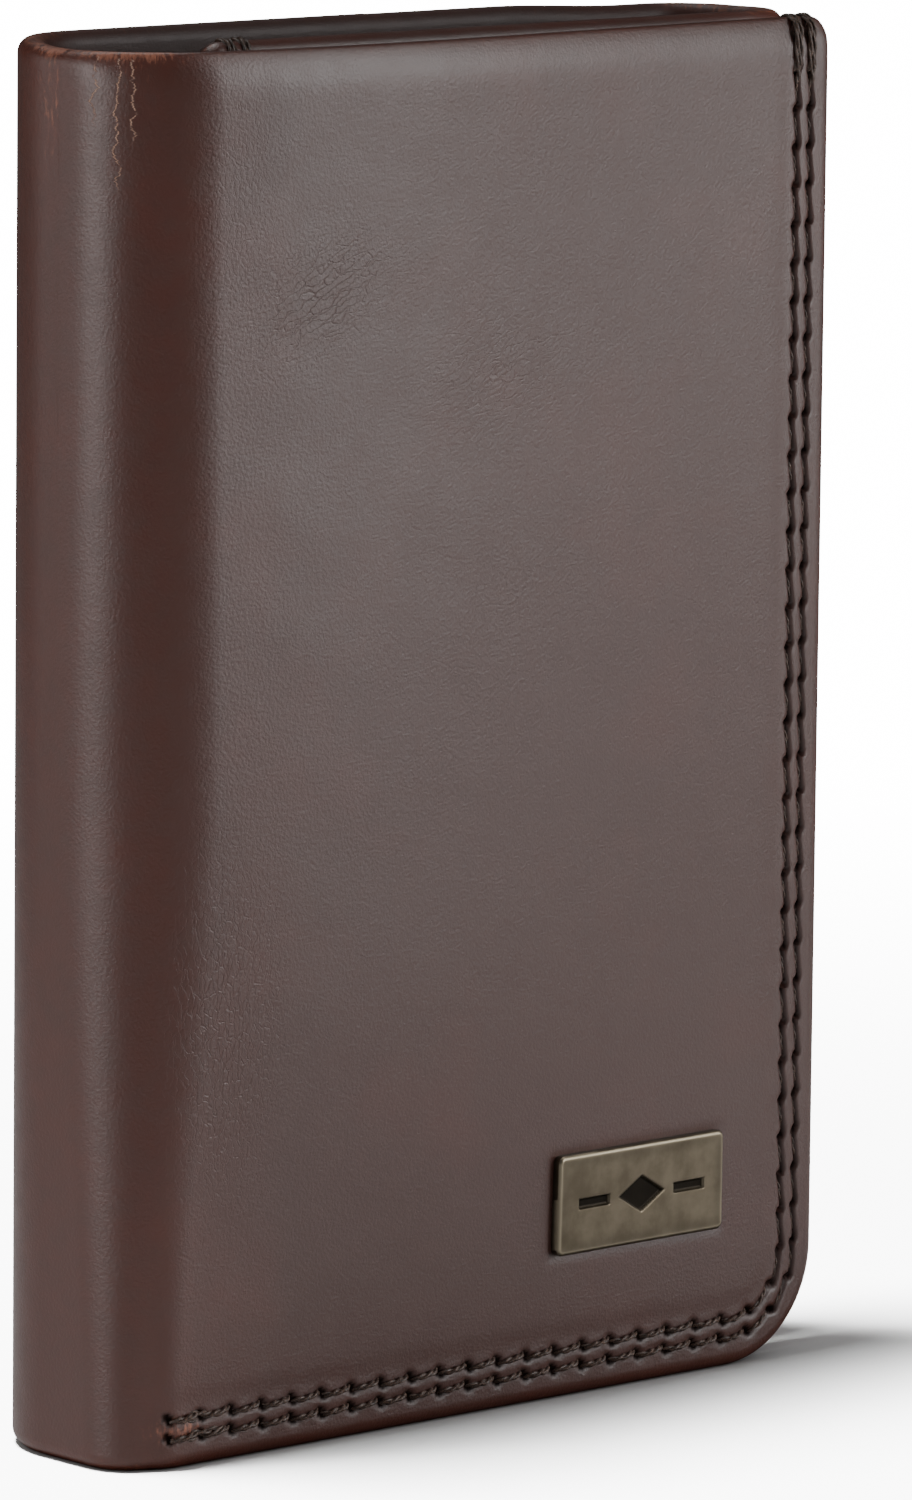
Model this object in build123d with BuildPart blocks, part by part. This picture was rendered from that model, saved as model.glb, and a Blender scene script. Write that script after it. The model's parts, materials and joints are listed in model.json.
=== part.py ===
from build123d import *
import os
from collections import namedtuple
from math import hypot, pi

# Trifold wallet, closed and standing on its lower edge. Millimetres, +Z up.
# +X runs along the front flap to its free edge, +Y runs from the front to the back.
# The origin is the middle of the closed wallet's footprint.
#
# Seen from above, the leather starts at the free edge of the front flap, runs left to the spine,
# round it and along the back (the centre panel), then round the fold on the right and back
# inside, between front and back, where it ends as the inner flap.

# ---------------------------------------------------------------- driving dimensions
WIDTH = 75.0                # spine to fold, closed
HEIGHT = 108.0
DEPTH = 20.0                # plaque to back cover

COVER = 1.2                 # cover leather
STIFFENER = 0.3
LINING = 0.2
DIVIDER = 0.5               # wall of the banknote compartment
POCKET = 0.35               # skived leather of one card pocket
WINDOW_FRAME = 0.8
FILM = 0.2
THREAD = 0.45
GLUE = 0.02                 # air between neighbouring layers
CARD_SPACE = 0.8            # room behind the clear window

PLAQUE_WIDTH = 18.2
PLAQUE_HEIGHT = 8.0
PLAQUE_THICK = 0.7
PLAQUE_X = 15.1
PLAQUE_Z = 15.7
PLAQUE_CORNER = 0.6
PLAQUE_BEVEL = 0.12
MOTIF_DEPTH = 0.25          # plain engraved motif: a lozenge between two bars
LOZENGE_WIDTH = 5.0
LOZENGE_HEIGHT = 3.0
BAR_LENGTH = 3.4
BAR_THICK = 0.9
BAR_SPACING = 10.4          # between the bars' middles
PRONG_WIDTH = 1.2
PRONG_THICK = 0.5
PRONG_MARGIN_X = 2.5        # prong centres, in from the plaque's ends
PRONG_MARGIN_Z = 1.5
SLIT_CLEARANCE = 0.1
WASHER_MARGIN = 1.0         # washer plate, in from the plaque's edges

FRONT_POCKET_TOPS = (66.0, 78.0, 90.0)
INNER_POCKET_TOPS = (72.0, 88.0)

WINDOW_SIDE = 7.0           # leather frame left and right of the clear window
WINDOW_FOOT = 9.0
WINDOW_TOP = 84.0
FRAME_TOP = 92.0
NOTCH_RADIUS = 9.0          # thumb notch in the top of the frame
SPACER_WIDTH = 2.2

FREE_EDGE_X = 36.2          # free edge of the front flap
INNER_TIP_X = -24.5         # free edge of the inner flap
FLAP_GAP = 2.0              # between the front flap's pockets and the inner flap's cover
SPINE_FRONT_RADIUS = 7.0
SPINE_BACK_RADIUS = 9.0

CORNER_RADIUS = 10.0        # foot of a free edge
TOP_CORNER_RADIUS = 2.0
EDGE_ROUND = 0.9            # rolled outer edge of the turned leather
HEM_WIDTH = 5.0             # how far the turned leather reaches in from an edge
EDGE_CLEARANCE = 0.15       # between the turned edge and the sheets that lie beside it
BEND_CLEARANCE = 0.1        # for a bend's corner as it turns past the flat panel
LINING_INSET = HEM_WIDTH + EDGE_CLEARANCE

SEAM_INSETS = (1.95, 3.45)  # the two rows of stitching, from the edge
STITCH_PITCH = 3.04
STITCH_LENGTH = 2.4
STITCH_WIDTH = 0.6
STITCH_SLANT = 4.0          # degrees
GROOVE_WIDTH = 1.0
GROOVE_DEPTH = 0.5
SEAM_TOP = HEIGHT - 1.5

# ---------------------------------------------------------------- depths under a panel's outer face
STIFFENER_AT = COVER + GLUE
LINING_AT = STIFFENER_AT + STIFFENER + GLUE
HEM_INNER = 2 * COVER                               # cover leather doubled at its edges
DIVIDER_HEM_AT = HEM_INNER + GLUE
DIVIDER_AT = DIVIDER_HEM_AT + DIVIDER
POCKETS_AT = DIVIDER_AT + DIVIDER + GLUE
POCKET_STEP = POCKET + GLUE

FRONT_STACK = POCKETS_AT + len(FRONT_POCKET_TOPS) * POCKET_STEP
SPACER_AT = POCKETS_AT
FILM_AT = SPACER_AT + CARD_SPACE + GLUE
FRAME_AT = FILM_AT + FILM + GLUE

# ---------------------------------------------------------------- plan positions of the panels
SPINE_X = -WIDTH / 2
FOLD_X = WIDTH / 2
FRONT_Y = -DEPTH / 2 + PLAQUE_THICK
BACK_Y = DEPTH / 2
INNER_Y = FRONT_Y + FRONT_STACK + FLAP_GAP
FOLD_RADIUS = (BACK_Y - INNER_Y) / 2


def bend_pivot_offset(radius):
    """How far a hinge axis lies from the centre of its bend, along X and along Y.

    A quarter bend of leather is pi/2 times its mid-leather radius long. With the axis half of
    that length from both flat parts, the leather keeps its length when the bend opens flat."""
    return pi / 4 * (radius - COVER / 2)


def bend_slit(radius):
    """Clearance past the end of a bend, so that the bend's corner can turn past the flat panel."""
    reach = bend_pivot_offset(radius)
    return hypot(reach, radius - reach) - reach + BEND_CLEARANCE


# face_y: outer face; inward: towards the inside; bend_x: where it meets its bend; side: free edge side
Panel = namedtuple("Panel", "face_y inward bend_x free_x side")
FRONT = Panel(FRONT_Y, 1, SPINE_X + SPINE_FRONT_RADIUS + bend_slit(SPINE_FRONT_RADIUS), FREE_EDGE_X, 1)
INNER = Panel(INNER_Y, 1, FOLD_X - FOLD_RADIUS - bend_slit(FOLD_RADIUS), INNER_TIP_X, -1)
CENTRE = Panel(
    BACK_Y,
    -1,
    SPINE_X + SPINE_BACK_RADIUS + bend_slit(SPINE_BACK_RADIUS),
    FOLD_X - FOLD_RADIUS - bend_slit(FOLD_RADIUS),
    0,
)

# x_face: outermost plane; side: which way it faces; the two bends' radii and the two outer faces
Wrap = namedtuple("Wrap", "x_face side front_radius back_radius front_y")
SPINE = Wrap(SPINE_X, -1, SPINE_FRONT_RADIUS, SPINE_BACK_RADIUS, FRONT_Y)
FOLD = Wrap(FOLD_X, 1, FOLD_RADIUS, FOLD_RADIUS, INNER_Y)

os.makedirs("parts", exist_ok=True)


def finish(builder, name):
    """Label a finished piece and write it as its own STEP file."""
    builder.part.label = name
    export_step(builder.part, f"parts/{name}.step")


# ---------------------------------------------------------------- flat layers
def layer(panel, near, far):
    """Upright sketch plane and thickness of a layer between two depths; it is extruded towards -Y."""
    ys = [panel.face_y + panel.inward * depth for depth in (near, far)]
    return Plane.XZ.offset(-max(ys)), max(ys) - min(ys)


def outline(panel, edge_inset=0.0, bottom=0.0, top=HEIGHT, mode=Mode.ADD):
    """Sheet from the bend to the free edge, rounded at the free corners. No free edge: a rectangle."""
    if panel.side == 0:
        with Locations(((panel.bend_x + panel.free_x) / 2, (bottom + top) / 2)):
            Rectangle(panel.free_x - panel.bend_x, top - bottom, mode=mode)
        return
    edge = panel.free_x - panel.side * edge_inset
    foot_radius = CORNER_RADIUS - edge_inset
    with BuildLine() as border:
        foot = Line((panel.bend_x, bottom), (edge - panel.side * foot_radius, bottom))
        turn = TangentArc(foot @ 1, (edge, bottom + foot_radius), tangent=foot % 1)
        rise = Line(turn @ 1, (edge, top - TOP_CORNER_RADIUS))
        crest = TangentArc(rise @ 1, (edge - panel.side * TOP_CORNER_RADIUS, top), tangent=rise % 1)
        Polyline(crest @ 1, (panel.bend_x, top), foot @ 0)
    make_face(border.edges(), mode=mode)


def seam(panel, inset):
    """Path of one row of stitches: along the foot, round the free corner and up the free edge."""
    if panel.side == 0:
        Line((panel.bend_x, inset), (panel.free_x, inset))
        return
    edge = panel.free_x - panel.side * inset
    radius = CORNER_RADIUS - inset
    foot = Line((panel.bend_x, inset), (edge - panel.side * radius, inset))
    turn = TangentArc(foot @ 1, (edge, inset + radius), tangent=foot % 1)
    Line(turn @ 1, (edge, SEAM_TOP))


def cover(panel):
    """Cover leather of a panel: the sheet, its edges turned in and doubled, and the seam grooves.
    The front flap's cover also has the four slits that the plaque's prongs pass."""
    with BuildPart() as piece:
        plane, thick = layer(panel, 0, COVER)
        with BuildSketch(plane):
            outline(panel)
        extrude(amount=thick)
        plane, thick = layer(panel, COVER, HEM_INNER)
        with BuildSketch(plane):
            outline(panel)
            outline(panel, HEM_WIDTH * abs(panel.side), HEM_WIDTH, HEIGHT - HEM_WIDTH, Mode.SUBTRACT)
        extrude(amount=thick)

        outer = piece.edges().filter_by_position(Axis.Y, panel.face_y, panel.face_y)
        bends = [panel.bend_x] if panel.side else [panel.bend_x, panel.free_x]
        rim = [edge for edge in outer if all(abs(edge.center().X - x) > GLUE for x in bends)]
        fillet(rim, EDGE_ROUND)

        plane, thick = layer(panel, 0, GROOVE_DEPTH)
        with BuildSketch(plane):
            for inset in SEAM_INSETS:
                with BuildLine() as row:
                    seam(panel, inset)
                trace(row.line, GROOVE_WIDTH)
        extrude(amount=thick, mode=Mode.SUBTRACT)

        if panel is FRONT:
            plane, thick = layer(panel, 0, COVER)
            with BuildSketch(plane):
                prong_pattern(SLIT_CLEARANCE)
            extrude(amount=thick, mode=Mode.SUBTRACT)
    return piece


def stiffener(panel):
    """Board between cover and lining, inside the turned edges, with a window round the plaque's washer."""
    with BuildPart() as piece:
        plane, thick = layer(panel, STIFFENER_AT, STIFFENER_AT + STIFFENER)
        with BuildSketch(plane):
            outline(panel, LINING_INSET * abs(panel.side), LINING_INSET, HEIGHT - LINING_INSET)
            if panel is FRONT:
                washer_outline(2 * SLIT_CLEARANCE, Mode.SUBTRACT)
        extrude(amount=thick)
    return piece


def sheet(panel, near, thick, edge_inset=0.0, bottom=0.0, top=HEIGHT):
    """Plain sheet that starts at a depth under the panel's outer face."""
    with BuildPart() as piece:
        plane, amount = layer(panel, near, near + thick)
        with BuildSketch(plane):
            outline(panel, edge_inset, bottom, top)
        extrude(amount=amount)
    return piece


def divider(panel):
    """Wall of the banknote compartment, with its foot and free edge turned over and glued to the hem."""
    top = HEIGHT - HEM_WIDTH
    with BuildPart() as piece:
        plane, thick = layer(panel, DIVIDER_AT, DIVIDER_AT + DIVIDER)
        with BuildSketch(plane):
            outline(panel, top=top)
        extrude(amount=thick)
        plane, thick = layer(panel, DIVIDER_HEM_AT, DIVIDER_AT)
        with BuildSketch(plane):
            outline(panel, top=top)
            outline(panel, HEM_WIDTH * abs(panel.side), HEM_WIDTH, HEIGHT, Mode.SUBTRACT)
        extrude(amount=thick)
    return piece


def stitch_spots(panel, inset, low=0.0, high=HEIGHT):
    """Centre and direction of every stitch of a row whose height lies between two limits."""
    with BuildLine(mode=Mode.PRIVATE) as row:
        seam(panel, inset)
    path = row.wire()
    count = int(path.length // STITCH_PITCH)
    spots = []
    for index in range(count):
        at = (index + 0.5) * STITCH_PITCH / path.length
        place = path @ at
        if low <= place.Y < high:
            spots.append(Location((place.X, place.Y, 0), (0, 0, path.tangent_angle_at(at) + STITCH_SLANT)))
    return spots


def outer_threads(panel):
    """Both rows of thread on the cover side, lying in the seam grooves."""
    with BuildPart() as piece:
        plane, thick = layer(panel, GROOVE_DEPTH - THREAD, GROOVE_DEPTH - GLUE)
        with BuildSketch(plane):
            for inset in SEAM_INSETS:
                with Locations(*stitch_spots(panel, inset)):
                    SlotOverall(STITCH_LENGTH, STITCH_WIDTH)
        extrude(amount=thick)
    return piece


def inner_threads(panel, pocket_tops):
    """Both rows of thread on the pocket side: they step down wherever a pocket ends."""
    levels = [0.0] + list(pocket_tops) + [HEIGHT - HEM_WIDTH]
    count = len(pocket_tops)
    with BuildPart() as piece:
        for index in range(count + 1):
            low, high = levels[index], levels[index + 1]
            near = POCKETS_AT + (count - index) * POCKET_STEP
            plane, thick = layer(panel, near, near + THREAD / 2)
            with BuildSketch(plane):
                for inset in SEAM_INSETS:
                    half = STITCH_LENGTH / 2
                    with Locations(*stitch_spots(panel, inset, low + half * (index > 0), high - half)):
                        SlotOverall(STITCH_LENGTH, STITCH_WIDTH)
            extrude(amount=thick)
    return piece


# ---------------------------------------------------------------- leather round the spine and the fold
def wrap_path(wrap, depth):
    """Plan line at a depth under a wrap: front bend, straight face, back bend."""
    front_centre = wrap.x_face - wrap.side * wrap.front_radius
    back_centre = wrap.x_face - wrap.side * wrap.back_radius
    x = wrap.x_face - wrap.side * depth
    front_y = wrap.front_y + wrap.front_radius
    back_y = BACK_Y - wrap.back_radius
    first = TangentArc(
        (front_centre, wrap.front_y + depth), (x, front_y), tangent=(wrap.side, 0)
    )
    start_of_back = first @ 1
    if back_y - front_y > GLUE:
        start_of_back = Line(first @ 1, (x, back_y)) @ 1
    last = TangentArc(start_of_back, (back_centre, BACK_Y - depth), tangent=(0, 1))
    return first @ 0, last @ 1


def wrap_band(wrap, near, far, low, high):
    """Upright strip of a wrap between two depths and two heights."""
    with BuildSketch(Plane.XY.offset(low)) as band:
        with BuildLine():
            outer_start, outer_end = wrap_path(wrap, near)
            inner_start, inner_end = wrap_path(wrap, far)
            Line(outer_start, inner_start)
            Line(outer_end, inner_end)
        make_face()
    extrude(band.sketch, amount=high - low)


def wrap_cover(wrap):
    """Cover leather round a wrap, doubled along its head and foot by the turned edge."""
    with BuildPart() as piece:
        wrap_band(wrap, 0, COVER, 0, HEIGHT)
        wrap_band(wrap, COVER, HEM_INNER, 0, HEM_WIDTH)
        wrap_band(wrap, COVER, HEM_INNER, HEIGHT - HEM_WIDTH, HEIGHT)
        ends = piece.edges().filter_by_position(Axis.Z, 0, 0)
        ends += piece.edges().filter_by_position(Axis.Z, HEIGHT, HEIGHT)
        fillet([edge for edge in ends if on_outer_line(wrap, edge)], EDGE_ROUND)
    return piece


def on_outer_line(wrap, edge):
    """True for an edge that lies on the outermost surface of a wrap."""
    middle = edge @ 0.5
    if abs(middle.X - wrap.x_face) < GLUE:
        return True
    for radius, centre_y in (
        (wrap.front_radius, wrap.front_y + wrap.front_radius),
        (wrap.back_radius, BACK_Y - wrap.back_radius),
    ):
        centre_x = wrap.x_face - wrap.side * radius
        if abs(hypot(middle.X - centre_x, middle.Y - centre_y) - radius) < GLUE:
            return True
    return False


def wrap_layer(wrap, near, thick, low, high):
    """Thin sheet that follows the inside of a wrap."""
    with BuildPart() as piece:
        wrap_band(wrap, near, near + thick, low, high)
    return piece


# ---------------------------------------------------------------- plaque fixings
def prong_pattern(clearance=0.0, mode=Mode.ADD):
    """Four rectangles, one for each prong or for the slit that it passes."""
    with Locations((PLAQUE_X, PLAQUE_Z)):
        with GridLocations(PLAQUE_WIDTH - 2 * PRONG_MARGIN_X, PLAQUE_HEIGHT - 2 * PRONG_MARGIN_Z, 2, 2):
            Rectangle(PRONG_WIDTH + clearance, PRONG_THICK + clearance, mode=mode)


def washer_outline(clearance=0.0, mode=Mode.ADD):
    """Plate behind the leather that the prongs are clinched over."""
    with Locations((PLAQUE_X, PLAQUE_Z)):
        RectangleRounded(
            PLAQUE_WIDTH - 2 * WASHER_MARGIN + clearance,
            PLAQUE_HEIGHT - 2 * WASHER_MARGIN + clearance,
            WASHER_MARGIN,
            mode=mode,
        )


# ---------------------------------------------------------------- flat panels
for panel, prefix in ((FRONT, "front"), (INNER, "inner"), (CENTRE, "centre")):
    edge_inset = LINING_INSET * abs(panel.side)
    lining = sheet(panel, LINING_AT, LINING, edge_inset, LINING_INSET, HEIGHT - LINING_INSET)
    finish(cover(panel), f"{prefix}_cover")
    finish(stiffener(panel), f"{prefix}_stiffener")
    finish(lining, f"{prefix}_lining")
    finish(divider(panel), f"{prefix}_divider")
    finish(outer_threads(panel), f"{prefix}_seam_threads")

# ---------------------------------------------------------------- card pockets, the lowest one innermost
for panel, prefix, places, tops in (
    (FRONT, "front", ("lower", "middle", "upper"), FRONT_POCKET_TOPS),
    (INNER, "inner", ("lower", "upper"), INNER_POCKET_TOPS),
):
    for index, (place, top) in enumerate(zip(places, tops)):
        near = POCKETS_AT + (len(tops) - 1 - index) * POCKET_STEP
        finish(sheet(panel, near, POCKET, top=top), f"{prefix}_{place}_pocket")
    finish(inner_threads(panel, tops), f"{prefix}_pocket_threads")

# ---------------------------------------------------------------- plaque and its washer plate
with BuildPart() as plaque:
    plane, thick = layer(FRONT, -PLAQUE_THICK, -GLUE)
    with BuildSketch(plane):
        with Locations((PLAQUE_X, PLAQUE_Z)):
            RectangleRounded(PLAQUE_WIDTH, PLAQUE_HEIGHT, PLAQUE_CORNER)
    extrude(amount=thick)
    rim = plaque.edges().filter_by_position(Axis.Y, -DEPTH / 2, -DEPTH / 2)
    chamfer(rim, PLAQUE_BEVEL)

    plane, thick = layer(FRONT, -PLAQUE_THICK, MOTIF_DEPTH - PLAQUE_THICK)
    half_width, half_height = LOZENGE_WIDTH / 2, LOZENGE_HEIGHT / 2
    with BuildSketch(plane):
        with Locations((PLAQUE_X, PLAQUE_Z)):
            Polygon((-half_width, 0), (0, -half_height), (half_width, 0), (0, half_height))
            with GridLocations(BAR_SPACING, 0, 2, 1):
                Rectangle(BAR_LENGTH, BAR_THICK)
    extrude(amount=thick, mode=Mode.SUBTRACT)

    plane, thick = layer(FRONT, -GLUE, STIFFENER_AT + STIFFENER)
    with BuildSketch(plane):
        prong_pattern()
    extrude(amount=thick)
finish(plaque, "plaque")

with BuildPart() as plaque_washer:
    plane, thick = layer(FRONT, STIFFENER_AT, STIFFENER_AT + STIFFENER)
    with BuildSketch(plane):
        washer_outline()
        prong_pattern(SLIT_CLEARANCE, Mode.SUBTRACT)
    extrude(amount=thick)
finish(plaque_washer, "plaque_washer")

# ---------------------------------------------------------------- identity window on the centre panel
CENTRE_X = (CENTRE.bend_x + CENTRE.free_x) / 2
CENTRE_WIDTH = CENTRE.free_x - CENTRE.bend_x

with BuildPart() as window_spacer:
    plane, thick = layer(CENTRE, SPACER_AT, SPACER_AT + CARD_SPACE)
    with BuildSketch(plane):
        outline(CENTRE, top=FRAME_TOP)
        with Locations((CENTRE_X, SPACER_WIDTH + FRAME_TOP / 2)):
            Rectangle(CENTRE_WIDTH - 2 * SPACER_WIDTH, FRAME_TOP, mode=Mode.SUBTRACT)
    extrude(amount=thick)
finish(window_spacer, "window_spacer")

finish(sheet(CENTRE, FILM_AT, FILM, top=FRAME_TOP - NOTCH_RADIUS), "window_film")

with BuildPart() as window_frame:
    plane, thick = layer(CENTRE, FRAME_AT, FRAME_AT + WINDOW_FRAME)
    with BuildSketch(plane):
        outline(CENTRE, top=FRAME_TOP)
        with Locations((CENTRE_X, (WINDOW_FOOT + WINDOW_TOP) / 2)):
            RectangleRounded(
                CENTRE_WIDTH - 2 * WINDOW_SIDE, WINDOW_TOP - WINDOW_FOOT, WINDOW_SIDE / 2, mode=Mode.SUBTRACT
            )
        with Locations((CENTRE_X, FRAME_TOP)):
            Circle(NOTCH_RADIUS, mode=Mode.SUBTRACT)
    extrude(amount=thick)
finish(window_frame, "window_frame")

with BuildPart() as window_threads:
    plane, thick = layer(CENTRE, FRAME_AT + WINDOW_FRAME, FRAME_AT + WINDOW_FRAME + THREAD / 2)
    rise_count = int(FRAME_TOP // STITCH_PITCH) - 2
    foot_count = int(CENTRE_WIDTH // STITCH_PITCH) - 2
    with BuildSketch(plane):
        with Locations((CENTRE_X, FRAME_TOP / 2)):
            with GridLocations(CENTRE_WIDTH - 2 * SEAM_INSETS[0], STITCH_PITCH, 2, rise_count):
                SlotOverall(STITCH_LENGTH, STITCH_WIDTH, rotation=90 - STITCH_SLANT)
        with Locations((CENTRE_X, SEAM_INSETS[0])):
            with GridLocations(STITCH_PITCH, STITCH_PITCH, foot_count, 1):
                SlotOverall(STITCH_LENGTH, STITCH_WIDTH, rotation=STITCH_SLANT)
    extrude(amount=thick)
finish(window_threads, "window_threads")

# ---------------------------------------------------------------- spine and fold
for wrap, prefix in ((SPINE, "spine"), (FOLD, "fold")):
    finish(wrap_cover(wrap), f"{prefix}_cover")
    finish(wrap_layer(wrap, LINING_AT, LINING, LINING_INSET, HEIGHT - LINING_INSET), f"{prefix}_lining")
    finish(wrap_layer(wrap, DIVIDER_AT, DIVIDER, 0, HEIGHT - HEM_WIDTH), f"{prefix}_divider")
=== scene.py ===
import json
import math

import bmesh
import bpy
import numpy as np
from mathutils import Matrix, Vector


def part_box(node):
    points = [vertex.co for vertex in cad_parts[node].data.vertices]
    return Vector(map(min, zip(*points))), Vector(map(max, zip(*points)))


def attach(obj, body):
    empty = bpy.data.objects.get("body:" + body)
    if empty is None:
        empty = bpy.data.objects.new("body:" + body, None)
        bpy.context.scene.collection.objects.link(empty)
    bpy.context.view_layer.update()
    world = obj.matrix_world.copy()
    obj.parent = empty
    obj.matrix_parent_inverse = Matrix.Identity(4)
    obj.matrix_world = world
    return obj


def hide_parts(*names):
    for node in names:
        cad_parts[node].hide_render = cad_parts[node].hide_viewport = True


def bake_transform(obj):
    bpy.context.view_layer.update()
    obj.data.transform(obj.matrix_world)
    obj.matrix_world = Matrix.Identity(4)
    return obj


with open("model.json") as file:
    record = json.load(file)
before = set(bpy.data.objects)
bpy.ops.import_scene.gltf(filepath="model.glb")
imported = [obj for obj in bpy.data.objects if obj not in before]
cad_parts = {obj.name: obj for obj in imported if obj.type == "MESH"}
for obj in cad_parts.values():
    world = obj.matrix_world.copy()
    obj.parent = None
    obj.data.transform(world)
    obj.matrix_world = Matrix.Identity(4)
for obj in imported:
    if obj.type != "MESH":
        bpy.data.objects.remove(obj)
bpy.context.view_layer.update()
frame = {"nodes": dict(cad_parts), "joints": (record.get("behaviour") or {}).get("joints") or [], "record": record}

# Looks of a closed leather trifold wallet. All lengths below are millimetres in the shared frame,
# turned into metres where a mesh is made. Leather is described in its own flat coordinates:
# s along the sheet, z up, and depth under its outer face.

MM = 0.001
RANDOM = np.random.default_rng(7)


def node_box(node):
    """Lowest and highest corner of a CAD node, in millimetres."""
    low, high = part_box(node)
    return np.array(low) / MM, np.array(high) / MM


def smooth(value, low, high):
    """Smooth step from 0 at low to 1 at high."""
    t = np.clip((value - low) / (high - low), 0, 1)
    return t * t * (3 - 2 * t)


def hump(value, centre, width):
    """Bell of height 1."""
    return np.exp(-(((value - centre) / width) ** 2))


SLOTS = {part["node"]: part["material_slot"] for part in frame["record"]["subparts"]}
HINGES = {joint["name"]: np.array(joint["pos_m"]) / MM for joint in frame["joints"]}
FRONT_LOW, FRONT_HIGH = node_box("front_cover")
INNER_LOW = node_box("inner_cover")[0]
CENTRE_LOW, CENTRE_HIGH = node_box("centre_cover")
SPINE_X = node_box("spine_cover")[0][0]
FOLD_X = node_box("fold_cover")[1][0]
PLAQUE_LOW, PLAQUE_HIGH = node_box("plaque")

HEIGHT = FRONT_HIGH[2]
HEM = FRONT_HIGH[1] - FRONT_LOW[1]         # cover leather doubled by its turned edge
COVER = HEM / 2
HEM_WIDTH = 5.0
FRONT_Y = FRONT_LOW[1]
BACK_Y = CENTRE_HIGH[1]
INNER_Y = INNER_LOW[1]
CENTRE_MID_X = (CENTRE_LOW[0] + CENTRE_HIGH[0]) / 2

LINING_DEPTHS = (1.54, 1.74)               # near and far face, under the outer face of the cover
DIVIDER_DEPTHS = (2.92, 3.42)
DIVIDER_TOP = node_box("front_divider")[1][2]

FOOT_RADIUS = 9.2            # rounded lower corner of a free edge
HEAD_RADIUS = 2.0            # and its upper corner
SEAM_INSETS = (2.5, 3.98)    # the two rows of a seam, from the edge
STITCH = 3.04                # length of one stitch
SLANT = 0.42                 # sideways step of each stitch
UNEVEN = 0.03                # how much the sideways place of a stitch varies
HOLE_TILT = math.radians(35)
HOLE_SHARE = 0.5             # how far pocket-side stitches dive, against those outside
SEAM_GAP = 0.6               # from the end of a bend to the first stitch
FRONT_SEAM_LEAD = 2.6        # the front flap's seam starts this far before the end of its bend
SEAM_TOP = 1.0               # from the last stitch of a free edge to the head
BEND_SHARE = math.pi / 4     # a hinge lies half of its bend's length in from both flat parts
DRAWN_IN = 0.9               # how far the stitches pull the front flap's free edge in
FRONT_BEND_ROOM = 7.0        # depth of the spine that its front and back bends take up
BACK_BEND_ROOM = 9.0

CROWN = 1.35                 # bulge of the front flap's middle
CROWN_FLARE = 0.75           # more of it at the head
CROWN_FALL = 52.0            # distance from the free edge at which it starts to fall
FOOT_BEND_RADIUS = 5.0       # the front flap's bend is tight at the foot
HEAD_BEND_GROWTH = 3.6       # and opens out by this much towards the head
BEND_PINCH = -0.34
SPINE_LIFT = 0.48            # how far the head edge rises beside each back bend
BACK_LIFT = 0.45
FOLD_BULGE = 1.5


# -------- leather sheets in plan
class Sheet:
    """A piece of cover leather in plan: from the middle of a wrap, round one bend, along a panel."""

    def __init__(self, wrap, panel, joint, face_x, side, mid_y, panel_y, end_x, direction):
        self.wrap, self.panel = wrap, panel
        self.side = side                               # +1 runs towards +X, -1 towards -X
        self.facing = math.copysign(1, panel_y - mid_y)
        self.face_x, self.mid_y = face_x, mid_y
        pivot = abs(HINGES[joint][0] - face_x)
        self.radius = (pivot - BEND_SHARE * COVER / 2) / (1 - BEND_SHARE)
        self.run = abs(panel_y - mid_y) - self.radius
        self.bend_end = self.run + math.pi / 2 * self.radius
        self.length = self.bend_end + abs(end_x - face_x) - self.radius
        self.origin, self.direction = 0, direction     # continuous leather coordinate for textures
        self.swell = lambda s, z: 0.0 * s
        self.rise = lambda s: 0.0 * s

    def plan(self, s):
        """Outer face and its outward normal at distances s along the sheet."""
        angle = np.clip((s - self.run) / self.radius, 0, math.pi / 2)
        before = np.minimum(s, self.run)
        after = np.maximum(s - self.bend_end, 0)
        x = self.face_x + self.side * (self.radius * (1 - np.cos(angle)) + after)
        y = self.mid_y + self.facing * (before + self.radius * np.sin(angle))
        return x, y, -self.side * np.cos(angle), self.facing * np.sin(angle)

    def place(self, s, z, depth):
        """Points in the shared frame for leather coordinates."""
        x, y, nx, ny = self.plan(s)
        out = self.swell(s, z) - depth
        lift = self.rise(s) * smooth(z, 0.5 * HEIGHT, HEIGHT)
        return np.stack([x + nx * out, y + ny * out, z + lift], axis=-1)

    def along(self, x):
        """Distance s of a place on the flat panel."""
        return self.bend_end + abs(x - self.face_x) - self.radius

    def bend(self, piece):
        """Bakes a piece's placement into its mesh; the ends of the bend are worked out but not used."""
        ends = self.place(np.array([self.run, self.bend_end]), np.full(2, HEIGHT / 2), np.zeros(2)) * MM
        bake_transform(piece)


SPINE_MID = (FRONT_Y + FRONT_BEND_ROOM + BACK_Y - BACK_BEND_ROOM) / 2
FOLD_MID = (INNER_Y + BACK_Y) / 2
FRONT_END = FRONT_HIGH[0] - DRAWN_IN
INNER_END = INNER_LOW[0]
FRONT = Sheet("spine", "front_flap", "front_flap_bend", SPINE_X, 1, SPINE_MID, FRONT_Y, FRONT_END, 1)
SPINE = Sheet("spine", "centre_panel", "spine_bend", SPINE_X, 1, SPINE_MID, BACK_Y, CENTRE_MID_X, -1)
BACK = Sheet("fold_strip", "centre_panel", "fold_bend", FOLD_X, -1, FOLD_MID, BACK_Y, CENTRE_MID_X, 1)
INNER = Sheet("fold_strip", "inner_flap", "inner_flap_bend", FOLD_X, -1, FOLD_MID, INNER_Y, INNER_END, -1)
BACK.origin = -SPINE.length - BACK.length
INNER.origin = BACK.origin


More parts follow.
